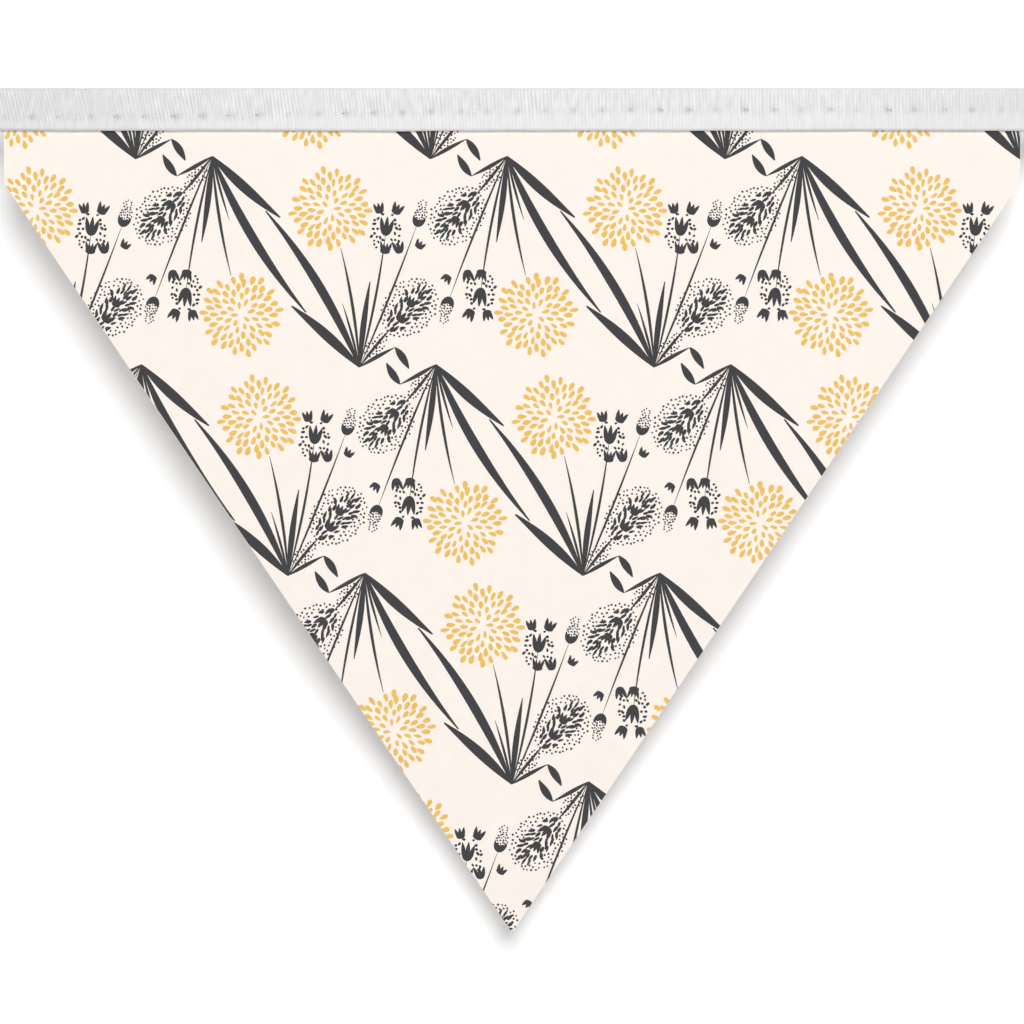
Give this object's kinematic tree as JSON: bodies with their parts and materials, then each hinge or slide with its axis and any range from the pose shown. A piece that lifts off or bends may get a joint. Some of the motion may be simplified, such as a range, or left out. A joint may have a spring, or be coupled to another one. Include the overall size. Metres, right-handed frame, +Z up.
{
  "type": "fabric bunting",
  "caption": "Pennant of printed cotton with two short upright sides and a point, hanging from a folded ribbed tape that runs on past both of its sides.",
  "frame": {"origin": "middle of the tape's top edge, halfway through its depth, where the bunting is pinned or tied up", "axes": "+Z up, +X along the tape to the right as the printed face is seen, -Y out of the printed face"},
  "size_m": [0.226, 0.0044, 0.1661],
  "materials": {
    "printed_cotton": "matt plain-woven cotton, printed on the front in charcoal and gold",
    "ribbed_tape": "matt off-white ribbed cotton tape with fine cross ribs",
    "sewing_thread": "matt off-white spun sewing thread"
  },
  "bodies": {
    "root": {"flag": "printed_cotton", "tape": "ribbed_tape"}
  },
  "joints": []
}
